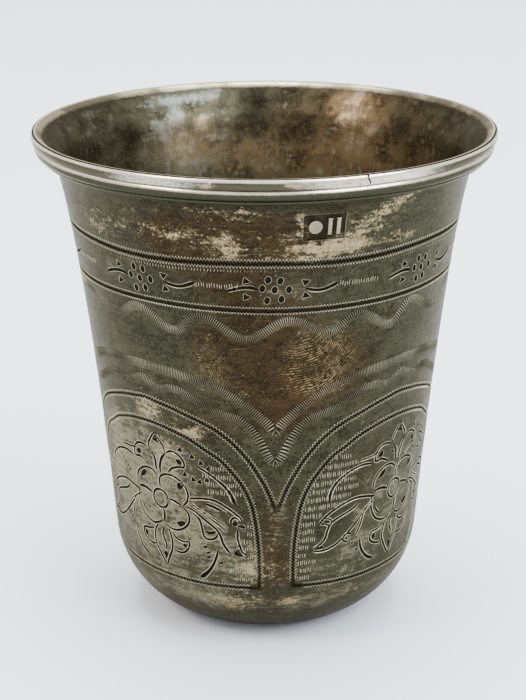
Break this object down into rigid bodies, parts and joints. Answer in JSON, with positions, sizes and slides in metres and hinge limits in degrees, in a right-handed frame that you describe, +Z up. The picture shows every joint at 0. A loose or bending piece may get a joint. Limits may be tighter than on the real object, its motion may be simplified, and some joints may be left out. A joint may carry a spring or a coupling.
{
  "type": "kiddush cup",
  "caption": "Small bell-shaped silver beaker with rounded bottom, reeded rim and engraved arched panels with flower sprays; holds drink, stands on its flat base.",
  "frame": {"origin": "centre of the flat base, on the surface the cup stands on", "axes": "+Z up along the cup's axis of turning, -Y towards the front, where the gap between two panels lies"},
  "size_m": [0.062, 0.062, 0.068],
  "materials": {
    "engraved_silver": "old silver with dark olive-brown patina, worn bright patches, engraved and wriggled lines",
    "rim_silver": "rubbed silver, brighter than the wall, dark in its grooves"
  },
  "bodies": {
    "root": {"beaker_body": "engraved_silver", "rim_wire": "rim_silver"}
  },
  "joints": []
}
